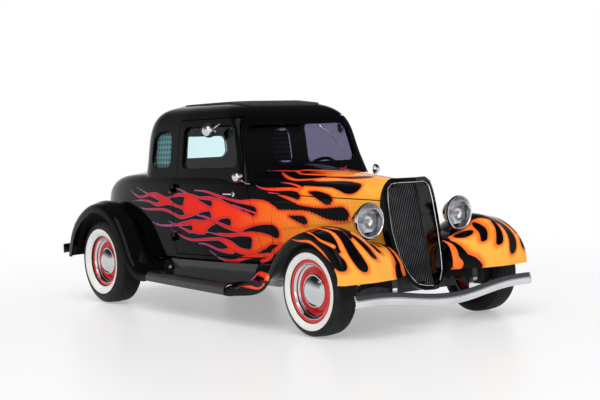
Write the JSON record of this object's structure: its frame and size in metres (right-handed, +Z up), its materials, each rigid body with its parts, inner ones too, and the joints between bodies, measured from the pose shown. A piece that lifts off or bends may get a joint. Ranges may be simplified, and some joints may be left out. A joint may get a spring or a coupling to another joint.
{
  "type": "hot rod coupe",
  "caption": "Chopped-stance 1930s style hot rod coupe with black and flame paint, open wheel arches and whitewall tyres on steered, rolling wheels.",
  "frame": {"origin": "on the ground, under the middle of the overall length, on the centre line", "axes": "+X forwards, +Y to the car's left, +Z up"},
  "size_m": [4.061, 1.724, 1.6124],
  "materials": {
    "body_paint": "gloss black paint",
    "flame_paint": "gloss black paint with orange flames",
    "chassis_paint": "satin black",
    "roof_vinyl": "dark matt panel",
    "clear_glass": "clear",
    "lamp_glass": "fluted",
    "chrome": "polished",
    "grille_black": "gloss black bars",
    "tyre": "black with a white sidewall",
    "wheel_red": "gloss red with chrome trim",
    "axle_steel": "satin black",
    "engine": "cast",
    "exhaust_steel": "brushed",
    "seat_leather": "red",
    "dash_paint": "gloss",
    "wheel_rim_plastic": "gloss"
  },
  "bodies": {
    "chassis": {"cab_shell": "flame_paint", "roof_insert": "roof_vinyl", "cab_glass": "clear_glass", "hood_sides": "flame_paint", "hood_hinge": "body_paint", "radiator_shell": "body_paint", "grille": "grille_black", "front_fenders": "flame_paint", "rear_fenders": "body_paint", "running_boards": "body_paint", "frame_rails": "chassis_paint", "engine_block": "engine", "front_axle": "axle_steel", "leaf_springs": "axle_steel", "rear_axle": "axle_steel", "exhaust_pipes": "exhaust_steel", "fuel_tank": "chassis_paint", "headlamps": "flame_paint", "headlamp_lenses": "lamp_glass", "front_bumper": "chrome", "rear_bumper": "chrome", "bumper_irons": "chrome", "plate_bracket": "chrome", "tail_lamps": "chrome", "bench_seat": "seat_leather", "dashboard": "dash_paint", "steering_column": "chrome"},
    "door_right": {"door_right": "flame_paint", "door_glass_right": "clear_glass"},
    "door_left": {"door_left": "flame_paint", "door_glass_left": "clear_glass"},
    "deck_lid": {"deck_lid": "body_paint"},
    "hood_top_right": {"hood_top_right": "flame_paint"},
    "hood_top_left": {"hood_top_left": "flame_paint"},
    "knuckle_right": {"knuckle_right": "axle_steel"},
    "knuckle_left": {"knuckle_left": "axle_steel"},
    "tie_rod": {"tie_rod": "axle_steel"},
    "steering_wheel": {"steering_wheel": "wheel_rim_plastic"},
    "wheel_front_right": {"tyre_front_right": "tyre", "wheel_front_right": "wheel_red"},
    "wheel_front_left": {"tyre_front_left": "tyre", "wheel_front_left": "wheel_red"},
    "wheel_rear_right": {"tyre_rear_right": "tyre", "wheel_rear_right": "wheel_red"},
    "wheel_rear_left": {"tyre_rear_left": "tyre", "wheel_rear_left": "wheel_red"}
  },
  "joints": [
    {"name": "door_right_hinge", "type": "hinge", "parent": "chassis", "child": "door_right", "pos_m": [-0.322, -0.704, 0.77], "axis": [0, 0, -1], "range_deg": [0, 68]},
    {"name": "door_left_hinge", "type": "hinge", "parent": "chassis", "child": "door_left", "pos_m": [-0.322, 0.704, 0.77], "axis": [0, 0, 1], "range_deg": [0, 68]},
    {"name": "deck_lid_hinge", "type": "hinge", "parent": "chassis", "child": "deck_lid", "pos_m": [-1.0885, 0, 1.138], "axis": [0, 1, 0], "range_deg": [0, 50]},
    {"name": "hood_top_right_hinge", "type": "hinge", "parent": "chassis", "child": "hood_top_right", "pos_m": [0.7703, 0, 1.07615], "axis": [-0.9948, 0, 0.1018], "range_deg": [0, 45]},
    {"name": "hood_top_left_hinge", "type": "hinge", "parent": "chassis", "child": "hood_top_left", "pos_m": [0.7703, 0, 1.07615], "axis": [0.9948, 0, -0.1018], "range_deg": [0, 45]},
    {"name": "steer_left", "type": "hinge", "parent": "chassis", "child": "knuckle_left", "pos_m": [1.5525, 0.59, 0.302], "axis": [0, 0, 1], "range_deg": [-22, 22]},
    {"name": "steer_right", "type": "hinge", "parent": "chassis", "child": "knuckle_right", "pos_m": [1.5525, -0.59, 0.302], "axis": [0, 0, 1], "range_deg": [-22, 22]},
    {"name": "tie_rod_swing", "type": "hinge", "parent": "knuckle_left", "child": "tie_rod", "pos_m": [1.4025, 0.59, 0.26], "axis": [0, 0, 1], "range_deg": [-22, 22]},
    {"name": "steering_wheel_turn", "type": "hinge", "parent": "chassis", "child": "steering_wheel", "pos_m": [0.226, 0.33, 0.992], "axis": [-0.8461, 0, 0.533], "range_deg": [-264, 264]},
    {"name": "wheel_front_right_spin", "type": "hinge", "parent": "knuckle_right", "child": "wheel_front_right", "pos_m": [1.5525, -0.743, 0.302], "axis": [0, 1, 0], "continuous": true},
    {"name": "wheel_front_left_spin", "type": "hinge", "parent": "knuckle_left", "child": "wheel_front_left", "pos_m": [1.5525, 0.743, 0.302], "axis": [0, 1, 0], "continuous": true},
    {"name": "wheel_rear_right_spin", "type": "hinge", "parent": "chassis", "child": "wheel_rear_right", "pos_m": [-1.2925, -0.7, 0.35], "axis": [0, 1, 0], "continuous": true},
    {"name": "wheel_rear_left_spin", "type": "hinge", "parent": "chassis", "child": "wheel_rear_left", "pos_m": [-1.2925, 0.7, 0.35], "axis": [0, 1, 0], "continuous": true}
  ],
  "couplings": [
    {"joint": "steer_right", "follows": "steer_left", "ratio": 1},
    {"joint": "tie_rod_swing", "follows": "steer_left", "ratio": -1},
    {"joint": "steering_wheel_turn", "follows": "steer_left", "ratio": 12}
  ]
}
